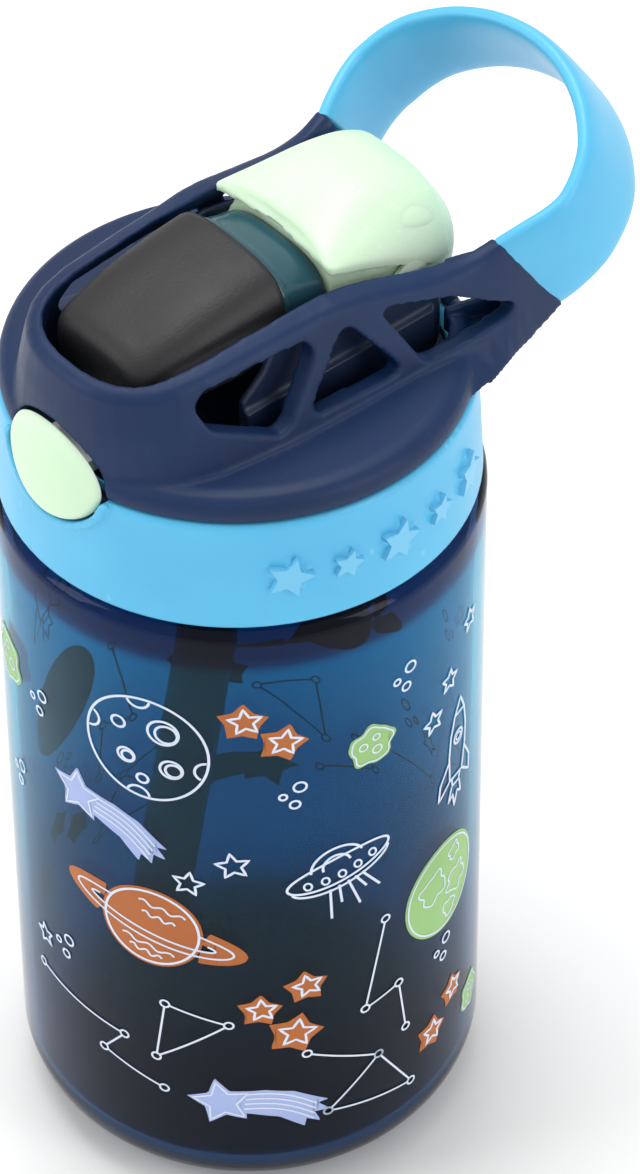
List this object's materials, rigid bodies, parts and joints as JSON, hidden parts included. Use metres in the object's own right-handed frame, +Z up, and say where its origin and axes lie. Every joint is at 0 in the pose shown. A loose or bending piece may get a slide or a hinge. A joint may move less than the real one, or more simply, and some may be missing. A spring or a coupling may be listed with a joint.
{
  "type": "water bottle",
  "caption": "Child's drinking bottle: tinted clear body, screw lid with pierced side frame, flip-up covered spout with straw, push button and rigid carrying loop.",
  "frame": {"origin": "centre of the flat base", "axes": "+Z up, spout tip and push button towards -Y, carrying loop towards +Y"},
  "size_m": [0.0744, 0.1055, 0.1792],
  "materials": {
    "body_blue": "clear tinted copolyester, glossy",
    "sky_blue": "smooth satin",
    "navy": "smooth satin",
    "dark_navy": "smooth satin",
    "pale_green": "smooth satin",
    "charcoal": "soft silicone",
    "teal": "clear tinted, glossy",
    "white": "smooth",
    "seal_white": "soft silicone",
    "clear_straw": "clear tinted",
    "steel": "drawn wire and turned pin"
  },
  "bodies": {
    "bottle": {"bottle_body": "body_blue"},
    "gasket": {"neck_gasket": "seal_white"},
    "lid": {"screw_cap": "dark_navy", "collar_ring": "sky_blue", "lid_frame": "navy", "spout_cradle": "dark_navy", "carry_loop": "sky_blue", "port_seal": "seal_white", "vent_valve": "seal_white", "pivot_bushing_right": "white", "pivot_bushing_left": "white", "pivot_pin_right": "steel", "pivot_pin_left": "steel", "torsion_spring": "steel", "straw_adapter": "dark_navy", "straw": "clear_straw"},
    "spout": {"hub_barrel": "pale_green", "thumb_hood": "pale_green", "spout_tube": "teal", "mouthpiece": "charcoal"},
    "button": {"release_button": "pale_green", "latch_slider": "white", "button_spring": "steel"}
  },
  "joints": [
    {"name": "lid_lift", "type": "slide", "parent": "bottle", "child": "gasket", "axis": [0, 0, 1], "range_m": [0, 0.00675]},
    {"name": "lid_unscrew", "type": "hinge", "parent": "gasket", "child": "lid", "pos_m": [0, 0, 0.135], "axis": [0, 0, 1], "range_deg": [0, 540]},
    {"name": "spout_flip", "type": "hinge", "parent": "lid", "child": "spout", "pos_m": [0, 0.022, 0.1588], "axis": [-1, 0, 0], "range_deg": [0, 92]},
    {"name": "button_press", "type": "slide", "parent": "lid", "child": "button", "axis": [0, 1, 0], "range_m": [0, 0.0016], "stiffness_N_per_m": 400, "deforming": ["button_spring"]}
  ],
  "couplings": [
    {"joint": "lid_lift", "follows": "lid_unscrew", "m_per_rad": 0.0007162}
  ]
}
